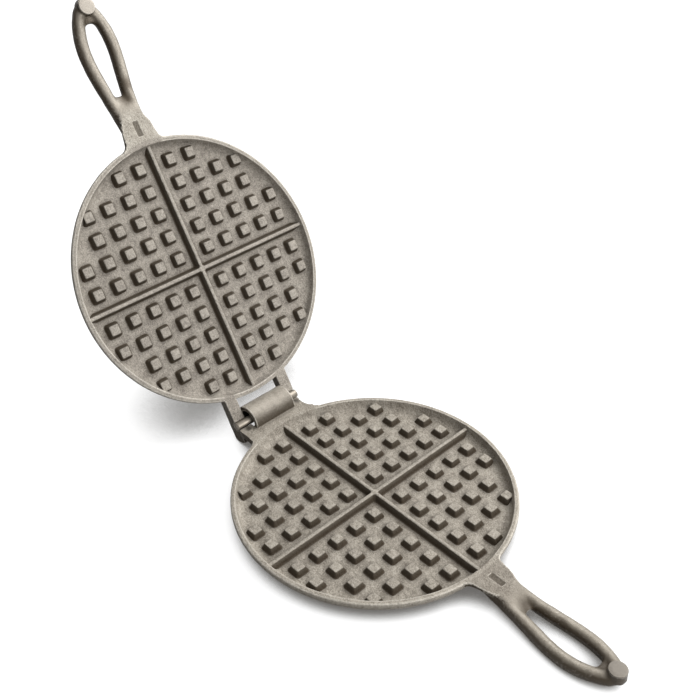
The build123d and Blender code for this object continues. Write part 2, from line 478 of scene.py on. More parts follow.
class GeometryTree:
    """A Geometry Nodes tree with named inputs, ready to be put on an object."""

    def __init__(self, name: str) -> None:
        """Start an empty tree that takes and gives a geometry."""
        self.tree = bpy.data.node_groups.new(name, "GeometryNodeTree")
        self.node = partial(add, self.tree)
        self.inputs = self.node("NodeGroupInput")
        (self.given,) = self.take("Geometry", kind="Geometry")

    def take(self, *names: str, kind: str = "Float") -> list[NodeSocket]:
        """Add named inputs.

        Args:
            *names: Names of the inputs.
            kind: End of Blender's socket type, such as "Float" or "Object".

        Returns:
            The sockets that give them inside the tree.
        """
        for name in names:
            self.tree.interface.new_socket(name, in_out="INPUT", socket_type=f"NodeSocket{kind}")
        return [self.inputs.outputs[name] for name in names]

    def end(self, geometry: Node) -> None:
        """Finish the tree with Realize Instances and Set Material.

        Args:
            geometry: Node that gives the finished form.
        """
        (metal,) = self.take("Metal", kind="Material")
        sort = "NodeSocketGeometry"
        self.tree.interface.new_socket("Geometry", in_out="OUTPUT", socket_type=sort)
        whole = self.node("RealizeInstances", geometry)
        self.node("NodeGroupOutput", self.node("SetMaterial", whole, {"Material": metal}))

    def put_on(self, piece: Object, **values) -> None:
        """Give an object this tree as a modifier.

        Args:
            piece: Object that gets the modifier.
            **values: Input name, with underscores for spaces, to value.
        """
        modifier = piece.modifiers.new(self.tree.name, "NODES")
        modifier.node_group = self.tree
        items = self.tree.interface.items_tree
        sockets = {s.name: s.identifier for s in items if s.in_out == "INPUT"}
        for name, value in values.items():
            modifier[sockets[name.replace("_", " ")]] = value


def turning_tree() -> GeometryTree:
    """Make the tree that turns a profile about Z.

    The profile is a chain of vertices in the XZ plane.  Its "worn" attribute is where a vertex
    sits once the casting has been fettled, and "wander" how much it may stray.  Where another
    part of the casting grows out of the rim, the profile keeps its unworn place.

    Returns:
        The tree, with its inputs named.
    """
    made = GeometryTree("turned_form")
    node, take = made.node, made.take
    (steps,) = take("Steps", kind="Int")
    wander, lump, seed = take("Wander", "Lump Size", "Seed")
    front_shift, front_half = take("Front Shift", "Front Half Width")
    back_centre, back_half = take("Back Centre", "Back Half Width")

    # A grid is laid over the profile, with one row per vertex of it and one column per step.
    count = first(node("AttributeDomainSize", made.given), "Point Count")
    grid = node("MeshGrid", 1.0, 1.0, count, node("Math ADD", steps, 1.0))
    place = node("SeparateXYZ", node("InputPosition"))
    along = node("Math ADD", first(place, "X"), 0.5)
    index = node("Math MULTIPLY", along, node("Math SUBTRACT", count, 1.0))
    index = node("Math ROUND", index)
    angle = node("Math MULTIPLY_ADD", first(place, "Y"), 2 * pi, pi)

    profile = {}
    kinds = {"position": "FLOAT_VECTOR", "worn": "FLOAT_VECTOR", "wander": "FLOAT", "edge": "FLOAT"}
    for name, kind in kinds.items():
        value = node(f"InputNamedAttribute {kind}", name)
        profile[name] = node(f"SampleIndex {kind}", made.given, {"Value": value, "Index": index})

    # Where the angle meets the handle or the hinge, the rim is not free to be worn.
    radius = first(node("SeparateXYZ", profile["position"]), "X")
    spot = node("CombineXYZ", radius, 0.0, 0.0)
    spot = node("VectorRotate Z_AXIS", {"Vector": spot, "Angle": angle})
    axes = node("SeparateXYZ", spot)
    x, y = first(axes, "X"), first(axes, "Y")
    gaps = []
    both_sides = node("Math ABSOLUTE", y)
    for at, centre, half in ((both_sides, back_centre, back_half), (y, front_shift, front_half)):
        off = node("Math ABSOLUTE", node("Math SUBTRACT", at, centre))
        gaps.append(node("Math SUBTRACT", off, half))
    past = node("Mix FLOAT", node("Math GREATER_THAN", x, 0.0), *gaps)
    free = node("MapRange SMOOTHSTEP", past, -1.0 * MM, 0.8 * MM)

    shape = node("Mix VECTOR", free, profile["position"], profile["worn"])
    scale = node("Math DIVIDE", 1.0, lump)
    lumps = {"Vector": spot, "W": seed, "Scale": scale, "Detail": 3.0}
    pull = node("TexNoise 4D", lumps)
    for factor in (wander, profile["wander"], free):
        pull = node("Math MULTIPLY", pull, factor)
    pull = node("VectorMath SCALE", (-1.0, 0.0, -0.25), pull)
    shape = node("VectorMath ADD", shape, pull)
    shape = node("VectorRotate Z_AXIS", {"Vector": shape, "Angle": angle})
    edge = node("Math MULTIPLY", profile["edge"], free)
    marked = node("StoreNamedAttribute", first(grid, "Mesh"), {"Name": "edge", "Value": edge})
    turned = node("SetPosition", marked, {"Position": shape})
    made.end(node("MergeByDistance", turned, {"Distance": 1e-6}))
    return made


def waffle_tree() -> GeometryTree:
    """Make the tree that sets pegs, ribs and the cross block into a dish.

    Returns:
        The tree, with its inputs named.
    """
    made = GeometryTree("waffle_field")
    node, take = made.node, made.take
    stamps = take("Peg", "Rib", "Cross", kind="Object")
    peg, rib, cross = (first(node("ObjectInfo", stamp), "Geometry") for stamp in stamps)
    lines, seed = take("Lines", "Seed", kind="Int")
    pitch, first_row, reach, floor = take("Pitch", "First Row", "Reach", "Floor")
    tilt, sink, spread = take("Tilt", "Sink", "Size Spread")
    wall, wall_lean = take("Wall Radius", "Wall Lean")

    # The rows stand off the ribs, further than half a pitch.
    span = node("Math SUBTRACT", lines, 1.0)
    span = node("Math MULTIPLY", span, pitch)
    grid = first(node("MeshGrid", span, span, lines, lines), "Mesh")
    place = node("InputPosition")
    side = node("VectorMath SIGN", place)
    step_out = node("Math MULTIPLY_ADD", pitch, -0.5, first_row)
    spot = node("VectorMath MULTIPLY_ADD", side, step_out, place)
    down = node("CombineXYZ", 0.0, 0.0, floor)
    rows = node("SetPosition", grid, {"Position": spot, "Offset": down})
    flat = node("VectorMath MULTIPLY", place, (1, 1, 0))
    away = node("VectorMath LENGTH", flat)
    inside = node("Math LESS_THAN", away, reach)

    # Each peg leans, is sized and is sunk by its own chance.
    lean = node("Math MULTIPLY", tilt, -1.0)
    small = node("Math SUBTRACT", 1.0, spread)
    large = node("Math ADD", 1.0, spread)
    sunk = node("Math MULTIPLY", sink, -1.0)
    ranges = [
        ("FLOAT_VECTOR", lean, tilt),
        ("FLOAT_VECTOR", small, node("CombineXYZ", large, large, 1.0)),
        ("FLOAT", 0.0, sunk),
    ]
    draws = []
    for salt, (kind, low, high) in enumerate(ranges, start=1):
        number = node("Math ADD", seed, float(salt))
        feeds = {"Min": low, "Max": high, "Seed": number}
        draws.append(node(f"RandomValue {kind}", feeds))
    turn, size, drop_by = draws
    held = {"Points": rows, "Selection": inside, "Instance": peg, "Rotation": turn, "Scale": size}
    pegs = node("InstanceOnPoints", held)
    shift = {"Translation": node("CombineXYZ", 0.0, 0.0, drop_by), "Local Space": False}
    pegs = node("TranslateInstances", pegs, shift)

    spokes = node("MeshCircle", {"Vertices": 4, "Radius": 0.001 * MM})
    quarter = node("Math MULTIPLY", node("InputIndex"), pi / 2)
    quarter = node("CombineXYZ", 0.0, 0.0, quarter)
    held = {"Points": spokes, "Instance": rib, "Rotation": quarter}
    ribs = node("InstanceOnPoints", held)
    solid = node("JoinGeometry", [pegs, ribs, cross])
    solid = node("RealizeInstances", solid)

    # No edge of a sand casting is quite straight.
    waves = {"Scale": 1 / (4.0 * MM), "W": seed, "Detail": 1.0}
    wobble = first(node("TexNoise 4D", waves), "Color")
    wobble = node("VectorMath SUBTRACT", wobble, (0.5, 0.5, 0.5))
    strength = node("Math MULTIPLY", sink, 1.6)
    wobble = node("VectorMath SCALE", wobble, strength)
    solid = node("SetPosition", solid, {"Offset": wobble})

    # What would pass through the dish's wall is pressed back to just inside it.
    height = first(node("SeparateXYZ", place), "Z")
    limit = node("Math MULTIPLY_ADD", height, wall_lean, wall)
    over = node("Math DIVIDE", limit, away)
    over = node("Math MINIMUM", over, 1.0)
    up = node("CombineXYZ", 0.0, 0.0, height)
    kept = node("VectorMath MULTIPLY_ADD", flat, over, up)
    solid = node("SetPosition", solid, {"Position": kept})
    made.end(node("JoinGeometry", [made.given, solid]))
    return made


# --- mesh stamps


@dataclass(frozen=True)
class ProfilePoint:
    """One vertex of a turned profile, in millimetres."""

    radius: float
    z: float
    worn_radius: float | None = None
    worn_z: float | None = None
    wander: float = 0.0
    edge: float = 0.0

    def worn(self) -> Point:
        """Give its place on the fettled casting, in metres."""
        radius = self.radius if self.worn_radius is None else self.worn_radius
        return radius * MM, 0.0, (self.z if self.worn_z is None else self.worn_z) * MM


def profile_object(name: str, points: list[ProfilePoint]) -> Object:
    """Make the chain of vertices that the turning tree reads.

    Args:
        name: Name of the helper object.
        points: Profile from the axis, over the face, to the axis again.

    Returns:
        The helper object.
    """
    mesh = bpy.data.meshes.new(name)
    links = [(i, i + 1) for i in range(len(points) - 1)]
    mesh.from_pydata([(p.radius * MM, 0, p.z * MM) for p in points], links, [])
    worn = mesh.attributes.new("worn", "FLOAT_VECTOR", "POINT")
    worn.data.foreach_set("vector", [value for p in points for value in p.worn()])
    store(mesh, "wander", [p.wander for p in points])
    store(mesh, "edge", [p.edge for p in points])
    return link_object(name, mesh)


def ring_stamp(
    name: str, rings: list[list[Point]], edges: list[float], shade_masks: list[float]
) -> Object:
    """Make a closed shell from rings of equal length, capped at both ends.

    Args:
        name: Name of the helper object.
        rings: Rings from the low end to the high end, counter-clockwise seen from above.
        edges: Share of pale edge, wear and painted highlight, of each vertex.
        shade_masks: Share of painted shade on each vertex.

    Returns:
        The helper object, its mesh in metres.
    """
    n, top = len(rings[0]), (len(rings) - 1) * len(rings[0])
    faces = [
        (r + i, r + (i + 1) % n, r + n + (i + 1) % n, r + n + i)
        for r in range(0, top, n)
        for i in range(n)
    ]
    faces += [tuple(reversed(range(n))), tuple(range(top, top + n))]
    mesh = bpy.data.meshes.new(name)
    mesh.from_pydata([tuple(c * MM for c in v) for ring in rings for v in ring], [], faces)
    store(mesh, "edge", edges)
    store(mesh, "soot", shade_masks)
    return link_object(name, mesh)


def rounded_square(half: float, corner: float, z: float, turn: float = 0.0) -> list[Point]:
    """Give the vertices of a square ring with round corners.

    Args:
        half: Half of its width.
        corner: Radius of its corners.
        z: Height of the ring.
        turn: Turn about Z in radians.

    Returns:
        Sixteen points, counter-clockwise.
    """
    ring = []
    for k, (sx, sy) in enumerate(((1, 1), (-1, 1), (-1, -1), (1, -1))):
        for step in range(4):
            angle = k * pi / 2 + step * pi / 6
            x = (half - corner) * sx + corner * cos(angle)
            y = (half - corner) * sy + corner * sin(angle)
            ring.append((x * cos(turn) - y * sin(turn), x * sin(turn) + y * cos(turn), z))
    return ring


def drafted_stamp(name: str, foot: float, top: float, height: float, turn: float = 0.0) -> Object:
    """Make a drafted square block with a filleted foot and an eased top.

    Args:
        name: Name of the helper object.
        foot: Width at the dish floor.
        top: Width at the top.
        height: Height above the floor, in millimetres, as the widths are.
        turn: Turn about Z in radians.

    Returns:
        The helper object, rooted 0.8 mm below z = 0.
    """
    slope = (foot - top) / 2 / height
    # Level of the plain drafted side, how far it stands out there, corner radius, height of the
    # ring, share of pale edge, and painted shade on the sides.
    table = [
        (0.0, 1.2, 2.4, -0.8, 0.0, 0.0),
        (0.0, 0.75, 2.2, 0.0, 0.0, 0.3),
        (0.0, 0.25, 1.9, 0.14, 0.0, 0.9),
        (0.5, 0.06, 1.6, 0.5, 0.0, 1.0),
        (1.0, 0.0, 1.3, 1.0, 0.0, 1.0),
        (height - 0.5, 0.0, 0.8, height - 0.5, 0.0, 0.9),
        (height - 0.28, -0.05, 0.75, height - 0.22, 0.15, 0.7),
        (height, -0.16, 0.7, height - 0.06, 0.3, 0.35),
        (height, -0.5, 0.6, height, 0.1, 0.05),
    ]
    rings = [
        rounded_square(foot / 2 - slope * level + out, corner, z, turn)
        for level, out, corner, z, _, _ in table
    ]
    wear, painted_shade = ([row[k] for row in table for _ in rings[0]] for k in (4, 5))
    return ring_stamp(name, rings, wear, painted_shade)


def rib_stamp(name: str, foot: float, top: float, height: float, length: float) -> Object:
    """Make a drafted bar along +X with filleted feet and an eased crest.

    Args:
        name: Name of the helper object.
        foot: Width at the dish floor.
        top: Width of the crest.
        height: Height above the floor.
        length: Length from the centre of the dish.

    Returns:
        The helper object, its floor at z = 0 and its root 0.8 mm below.
    """
    slope = (foot - top) / 2 / height
    # Half width, height, share of pale edge and painted shade from the foot to the crest.
    half = [
        (foot / 2 + 1.4, -0.8, 0.0, 0.0),
        (foot / 2 + 0.9, 0.0, 0.0, 0.25),
        (foot / 2 + 0.36, 0.14, 0.0, 0.9),
        (foot / 2 - slope * 0.5 + 0.08, 0.5, 0.0, 1.0),
        (foot / 2 - slope * 1.2, 1.2, 0.0, 1.0),
        (top / 2 + slope * 0.5, height - 0.5, 0.0, 0.8),
        (top / 2 - 0.02, height - 0.18, 0.3, 0.3),
        (top / 2 - 0.3, height - 0.02, 0.3, 0.15),
    ]
    loop = [(-w, *rest) for w, *rest in half] + [(w, *rest) for w, *rest in half[::-1]]
    steps = 30
    rings = [[(length * k / steps, y, z) for y, z, _, _ in loop] for k in range(steps + 1)]
    wear, painted_shade = ([row[k] for row in loop] * len(rings) for k in (2, 3))
    return ring_stamp(name, rings, wear, painted_shade)


# --- the plates


@dataclass
class CookingPlate:
    """One cooking plate: a turned dish with its rim, and the waffle pattern in it."""

    casting: Casting
    metal: Material
    seed: int
    front_shift: float = 0.0
    front_half: float = 12.9
    back_centre: float = 0.0
    back_half: float = 27.2
    rim_side: float = 2.5
    foot_radius: float = 76.0
    dish_depth: float = 6.5
    dish_radius: float = 88.8
    wall_run: float = 2.4
    cove: float = 5.0
    peg_pitch: float = 15.85
    peg_first: float = 12.2
    # Width of the foot, width of the top, and height.
    peg: Point = (9.5, 6.4, 4.1)
    rib: Point = (5.2, 2.2, 4.5)
    cross: Point = (9.2, 4.4, 4.5)

    def profile(self) -> list[ProfilePoint]:
        """Draw the plate from the middle of the dish, over the rim, to the middle underneath.

        Returns:
            The profile's vertices.
        """
        floor, run, outer = -self.dish_depth, self.dish_radius, PLATE_RADIUS
        lean = atan2(self.dish_depth, self.wall_run)
        start = run - self.wall_run - self.cove * tan(lean / 2)
        points = [ProfilePoint(r, floor) for r in (0.0, 12.0, 30.0, 50.0, 68.0, 79.0)]
        for k in range(7):
            turn = lean * k / 6
            x, z = start + self.cove * sin(turn), floor + self.cove * (1 - cos(turn))
            points.append(ProfilePoint(x, z, wander=0.1 * k / 6))
        # The rim's inner lip: place from the dish's edge, how far it strays, and share of pale edge
        # (wear and painted highlight).
        lip = [
            (-0.62, -1.7, 0.2, 0.0),
            (-0.3, -0.8, 0.35, 0.0),
            (-0.13, -0.36, 0.5, 0.3),
            (-0.02, -0.13, 0.5, 0.9),
            (0.2, -0.03, 0.4, 1.0),
            (0.5, 0.0, 0.2, 0.3),
            (1.1, 0.0, 0.1, 0.0),
        ]
        points += [ProfilePoint(run + x, z, None, None, stray, edge) for x, z, stray, edge in lip]
        points.append(ProfilePoint(run + 1.7, 0.0, run + 1.6, 0.0, 0.2, 0.1))
        # Its outer edge: place from the outside, worn place, and share of pale edge (wear and
        # painted highlight).
        rounded = [
            (-1.0, 0.0, -1.15, -0.04, 0.3),
            (-0.65, 0.0, -0.75, -0.17, 0.9),
            (-0.35, 0.0, -0.42, -0.38, 1.0),
            (-0.15, 0.0, -0.2, -0.66, 0.6),
            (0.0, 0.0, -0.06, -0.98, 0.3),
            (0.0, -0.6, -0.02, -1.3, 0.2),
            (0.0, -1.3, 0.0, -1.7, 0.2),
            (0.0, -2.0, 0.0, -2.1, 0.3),
            (0.0, -self.rim_side, 0.0, -self.rim_side, 0.1),
        ]
        for x, z, worn_x, worn_z, edge in rounded:
            points.append(ProfilePoint(outer + x, z, outer + worn_x, worn_z, 1.0, edge))
        # The crowned underside is one arc from the rim's side to the flat foot.
        run_in, rise = outer - self.foot_radius, PLATE_HEIGHT - self.rim_side
        under = (run_in**2 + rise**2) / (2 * rise)
        begin = atan2(rise - under, run_in)
        for k in range(1, 15):
            angle = begin + (-pi / 2 - begin) * k / 14
            x, z = self.foot_radius + under * cos(angle), under - PLATE_HEIGHT + under * sin(angle)
            points.append(ProfilePoint(x, z, wander=max(0.0, 0.6 - 0.1 * k)))
        return points + [ProfilePoint(r, -PLATE_HEIGHT) for r in (60.0, 40.0, 20.0, 0.0)]

    def build(self, turning: GeometryTree, waffle: GeometryTree) -> Object:
        """Build the plate and put it where its CAD node is.

        Args:
            turning: Tree that turns the profile.
            waffle: Tree that sets the pegs and ribs.

        Returns:
            The finished piece, riding on its body.
        """
        blank = profile_object("plate_profile", self.profile())
        peg = drafted_stamp("peg_stamp", *self.peg)
        rib = rib_stamp("rib_stamp", *self.rib, self.dish_radius + 1.2)
        cross = drafted_stamp("cross_stamp", *self.cross, pi / 4)
        for stamp in (rib, cross):
            stamp.data.transform(Matrix.Translation((0, 0, -self.dish_depth * MM)))
        turning.put_on(
            blank,
            Steps=400,
            Wander=0.35 * MM,
            Lump_Size=3.4 * MM,
            Seed=float(self.seed),
            Front_Shift=self.front_shift * MM,
            Front_Half_Width=self.front_half * MM,
            Back_Centre=self.back_centre * MM,
            Back_Half_Width=self.back_half * MM,
            Metal=self.metal,
        )
        waffle.put_on(
            blank,
            Peg=peg,
            Rib=rib,
            Cross=cross,
            Pitch=self.peg_pitch * MM,
            First_Row=self.peg_first * MM,
            Reach=(self.dish_radius - self.peg[1] / 2) * MM,
            Lines=2 * int(self.dish_radius / self.peg_pitch + 1),
            Floor=-self.dish_depth * MM,
            Wall_Radius=(self.dish_radius + 0.9) * MM,
            Wall_Lean=self.wall_run / self.dish_depth,
            Tilt=radians(0.9),
            Sink=0.16 * MM,
            Size_Spread=0.02,
            Seed=self.seed,
            Metal=self.metal,
        )
        node = f"{self.casting.value}_plate"
        mesh = evaluated_mesh(blank, f"{node}_casting")
        for helper in (blank, peg, rib, cross):
            drop(helper)
        placement = self.casting.placement()
        placement.translation *= MM
        mesh.transform(placement)
        return self.casting.carry(mesh, sharp_over=34, slot="cast_iron", node=node)


# --- parts grown on the rims


@dataclass(frozen=True)
class RimRoot:
    """A curved block inside the rim, so that a part runs flush into the plate."""

    side: int
    y_low: float
    y_high: float
    z_low: float
    fillet: float = 0.0
    z_high: float = -0.04
    inner: float = 89.6
    outer: float = 93.0
    fillet_low: float = -3.2

    def add_to(self, form: BMesh) -> None:
        """Add the block, and the fillets between its sides and the rim.

        Args:
            form: Mesh in millimetres of the paddle.
        """
        steps, size = 14, self.fillet
        ys = [self.y_low + (self.y_high - self.y_low) * k / steps for k in range(steps + 1)]
        plan = [(sqrt(self.inner**2 - y * y), y) for y in ys]
        plan += [(sqrt(self.outer**2 - y * y), y) for y in ys[::-1]]
        self.add_prism(form, plan, self.z_low)
        for end, way in ((self.y_low, -1), (self.y_high, 1)) if size else ():
            plan = []
            for k in range(9):
                turn = pi / 2 * k / 8
                y = end + way * size * (1 - sin(turn))
                plan.append((sqrt(PLATE_RADIUS**2 - y**2) + size * (1 - cos(turn)), y))
            back, bite = plan[0][0] - 2.0, end - 1.6 * way
            plan += [(plan[-1][0], bite), (back, bite), (back, end + way * size)]
            self.add_prism(form, plan, self.fillet_low)

    def add_prism(self, form: BMesh, plan: list[tuple[float, float]], low: float) -> None:
        """Raise a closed plan from a level to just under the parting plane.

        Args:
            form: Mesh in millimetres of the paddle.
            plan: Corners, with the distance from the middle of the plate first.
            low: Level of the underside.
        """
        rings = [
            [form.verts.new((self.side * x, y, z)) for x, y in plan] for z in (low, self.z_high)
        ]
        faces = [form.faces.new(ring) for ring in rings]
        for k, corner in enumerate(rings[0]):
            sides = (corner, rings[0][k - 1], rings[1][k - 1], rings[1][k])
            faces.append(form.faces.new(sides))
        bmesh.ops.recalc_face_normals(form, faces=faces)


@dataclass(frozen=True)
class RodSwell:
    """A thickening of a handle's rod from one place to another."""

    low: Point
    high: Point
    radii: tuple[float, float] = (3.0, 4.4)
    steps: int = 16

    def add_to(self, form: BMesh) -> None:
        """Add the swelling, as a row of balls, to a mesh in millimetres of the paddle."""
        for k in range(self.steps + 1):
            share = k / self.steps
            radius = self.radii[0] + (self.radii[1] - self.radii[0]) * share
            spot = Matrix.Translation(Vector(self.low).lerp(Vector(self.high), share))
            bmesh.ops.create_icosphere(form, subdivisions=3, radius=radius, matrix=spot)


@dataclass
class Outgrowth:
    """A part of a casting outside its plate, softened as sand leaves it."""

    casting: Casting
    node: str
    metal: Material
    seed: int
    roots: list[RimRoot | RodSwell] = field(default_factory=list)
    slot: str = "cast_iron"
    voxel: float = 0.4
    smooth_steps: int = 2
    lump: float = 0.12
    lump_size: float = 5.0
    still: float = 94.0
    burr: float = 0.0
    burr_size: float = 2.2
    burr_depth: float = 2.2  # how far below the parting plane burr still forms
    # Strength of the painted shade on the flanks, and how much darker it makes one side of the
    # loop.
    flank_shade: float = 0.6
    one_side_shade: float = 0.0

    def build(self) -> Object:
        """Build the piece from a copy of its CAD node.

        Returns:
            The finished piece, riding on its body.
        """
        form = bmesh.new()
        form.from_mesh(bpy.data.objects[self.node].data)
        form.transform(self.casting.to_metres().inverted())
        bmesh.ops.remove_doubles(form, verts=form.verts, dist=1e-3)
        for root in self.roots:
            root.add_to(form)
        form.transform(Matrix.Scale(MM, 4))
        blank = link_object("blank", bpy.data.meshes.new("blank"))
        form.to_mesh(blank.data)
        form.free()
        remesh = blank.modifiers.new("remesh", "REMESH")
        remesh.mode, remesh.voxel_size = "VOXEL", self.voxel * MM
        smooth = blank.modifiers.new("smooth", "SMOOTH")
        smooth.factor, smooth.iterations = 0.5, self.smooth_steps
        mesh = evaluated_mesh(blank, f"{self.node}_casting")
        drop(blank)
        mesh.transform(Matrix.Scale(1 / MM, 4))
        self.soften(mesh)
        self.roughen(mesh)
        self.mark_wear(mesh)
        mesh.transform(self.casting.to_metres())
        mesh.materials.clear()
        mesh.materials.append(self.metal)
        return self.casting.carry(mesh, sharp_over=60, slot=self.slot, node=self.node)

    def soften(self, mesh: Mesh) -> None:
        """Leave the mesh as it is, because the remesh has softened it enough."""

    def roughen(self, mesh: Mesh) -> None:
        """Push the skin in and out a little, and make the neck's upper edges ragged.

        Args:
            mesh: Mesh in millimetres of the paddle.
        """
        offset = Vector((self.seed * 17.3, self.seed * 5.1, self.seed * 9.7))
        moved = []
        for vert in mesh.vertices:
            place, to_loop, above = vert.co, LOOP_START - vert.co.x, vert.co.z + self.burr_depth
            push = (noise.noise(place / self.lump_size + offset) - 0.9) * self.lump
            push += noise.noise(place / (self.lump_size / 3) + offset) * self.lump * 0.4
            if self.burr and to_loop > 0 and above > 0 and vert.normal.z < 0.75:
                ragged = noise.noise(place / self.burr_size + offset) * self.burr
                push += ragged * min(1.0, to_loop / 4) * min(1.0, above)
            share = clamp((hypot(place.x, place.y) - self.still) / 4)
            moved.extend(place + vert.normal * push * share)
        mesh.vertices.foreach_set("co", moved)
        mesh.update()

    def mark_wear(self, mesh: Mesh) -> None:
        """Store how sharp each place is as "edge", and a painted shade as a second attribute.

        The painted shade darkens the flanks against the upper faces, less underneath, and one side
        of the loop more than the other.

        Args:
            mesh: Mesh in millimetres of the paddle.
        """
        form = bmesh.new()
        form.from_mesh(mesh)
        edges, shade_masks = [], []
        for vert in form.verts:
            bends = [edge.calc_face_angle_signed(0.0) for edge in vert.link_edges]
            bend = sum(bends) / max(1, len(bends))
            edges.append(clamp(bend / self.voxel * 4.0 - 0.5))
            # Painted shade: flanks darker than the upper faces, less underneath, one side of the
            # loop more.
            lean = vert.normal.y * self.one_side_shade if vert.co.x > LOOP_START else 0.0
            under = clamp((-0.05 - vert.normal.z) / 0.6)
            painted_shade = smooth_step((0.96 - vert.normal.z + lean) / 0.62)
            shade_masks.append(painted_shade * self.flank_shade * (1 - 0.7 * under))
        form.free()
        store(mesh, "edge", edges)
        store(mesh, "soot", shade_masks)


@dataclass
class Handle(Outgrowth):
    """A handle: a flat neck with a sunk panel, and a loop of rod that ends in a ground boss."""

    slot: str = "cast_iron_handled"
    voxel: float = 0.5
    smooth_steps: int = 3
    middle: float = 0.0
    neck_half: float = 12.6
    sway: float = 0.0
    boss_x: float = 185.0
    # Each melt runs from one x to another, for so many rounds, and spares the sunk panel.
    melts: tuple[tuple[float, float, int], ...] = ((93.5, 116, 8), (104, 136, 40), (168, 186, 40))
    spared: tuple[float, float] = (107.5, 3.2)  # up to this x, and this far from the middle
    panel: tuple[float, float, float] = (95.4, 106.6, 2.2)  # from x, to x, and its half width
    cut_radius: float = 6.6
    cut_level: float = -0.5
    sway_run: float = 66.0

    def __post_init__(self) -> None:
        """Root the neck in the rim, and swell the two rods where they leave it."""
        low, high = self.middle - self.neck_half, self.middle + self.neck_half
        swells = [
            RodSwell((108.0, self.middle + 6.7 * way, -3.6), (127.0, self.middle + 7.6 * way, -7.6))
            for way in (-1, 1)
        ]
        self.roots = [RimRoot(1, low, high, -4.6, fillet=4.0), *swells]

    def soften(self, mesh: Mesh) -> None:
        """Melt the neck and the rods into one flowing form, and set the loop straight.

        Args:
            mesh: Mesh in millimetres of the paddle.
        """
        form = bmesh.new()
        form.from_mesh(mesh)
        axes = {f"use_axis_{axis}": True for axis in "xyz"}
        for start, end, rounds in self.melts:
            for k in range(rounds):
                reach = (end - start) / 2 * (1 - 0.5 * k / rounds)
                chosen = [
                    v
                    for v in form.verts
                    if abs(v.co.x - (start + end) / 2) < reach
                    and (v.co.x > self.spared[0] or abs(v.co.y - self.middle) > self.spared[1])
                ]
                bmesh.ops.smooth_vert(form, verts=chosen, factor=0.5, **axes)
        for vert in form.verts:
            if hypot(vert.co.x - self.boss_x, vert.co.y - self.middle) < self.cut_radius:
                vert.co.z = min(vert.co.z, self.cut_level)
            vert.co.y += self.sway * smooth_step((vert.co.x - LOOP_START) / self.sway_run)
        form.to_mesh(mesh)
        form.free()

    def mark_wear(self, mesh: Mesh) -> None:
        """Mark the pale edges and the painted shade, with painted shade deeper in the sunk panel
        and no pale edge on the ground boss.

        Args:
            mesh: Mesh in millimetres of the paddle.
        """
        super().mark_wear(mesh)
        edge, soot = mesh.attributes["edge"].data, mesh.attributes["soot"].data
        start, end, half = self.panel
        for vert in mesh.vertices:
            x, y, z = vert.co
            if x > self.boss_x - 8.0:
                edge[vert.index].value = 0.0
            if start < x < end and abs(y - self.middle) < half:
                # Painted shade: the sunk panel is darker the deeper it goes.
                panel_shade = min(0.7, max(0.0, (-0.1 - z) * 3))
                soot[vert.index].value = max(soot[vert.index].value, panel_shade)


@dataclass
class HingeShelf(Outgrowth):
    """The shelf and barrel of the hinge, whose shelf thins and draws in towards its ends."""

    voxel: float = 0.45
    straight: float = 18.0
    half: float = 27.6
    front: float = -84.0
    bend_from: float = -90.5
    bend_run: float = 8.0
    thick: float = 8.6
    draw_in: tuple[float, float] = (0.4, 3.4)
    thin: float = 4.4

    def soften(self, mesh: Mesh) -> None:
        """Draw the shelf's ends in with a concave curve, and thin them from below.

        Args:
            mesh: Mesh in millimetres of the paddle.
        """
        for vert in mesh.vertices:
            x, y, z = vert.co
            if abs(y) < self.straight or x > self.front:
                continue
            end = min(1.0, (abs(y) - self.straight) / (self.half - self.straight))
            back = clamp((self.bend_from - x) / self.bend_run)
            pull = self.draw_in[1] if y > 0 else -self.draw_in[0]
            vert.co.y -= pull * end * sqrt(1 - (1 - back) ** 2)
            if z < 0:
                vert.co.z = z * (1 - end * self.thin / self.thick)
        mesh.update()


@dataclass
class TurnedPiece:
    """A small round piece: the steel pin, or the ground face of a handle's boss."""

    name: str
    casting: Casting
    metal: Material
    outline: list[tuple[float, float]]
    placement: Matrix
    slot: str = "cast_iron_handled"
    replaces: str | None = None
    steps: int = 64

    def build(self, turning: GeometryTree) -> Object:
        """Build the piece.

        Args:
            turning: Tree that turns the outline.

        Returns:
            The finished piece, riding on its body.
        """
        blank = profile_object("outline", [ProfilePoint(r, z) for r, z in reversed(self.outline)])
        turning.put_on(blank, Steps=self.steps, Lump_Size=1.0, Metal=self.metal)
        mesh = evaluated_mesh(blank, self.name)
        drop(blank)
        mesh.transform(Matrix.Scale(1 / MM, 4))
        mesh.transform(self.casting.to_metres() @ self.placement)
        return self.casting.carry(mesh, sharp_over=40, slot=self.slot, node=self.replaces)


# --- floor, light and camera


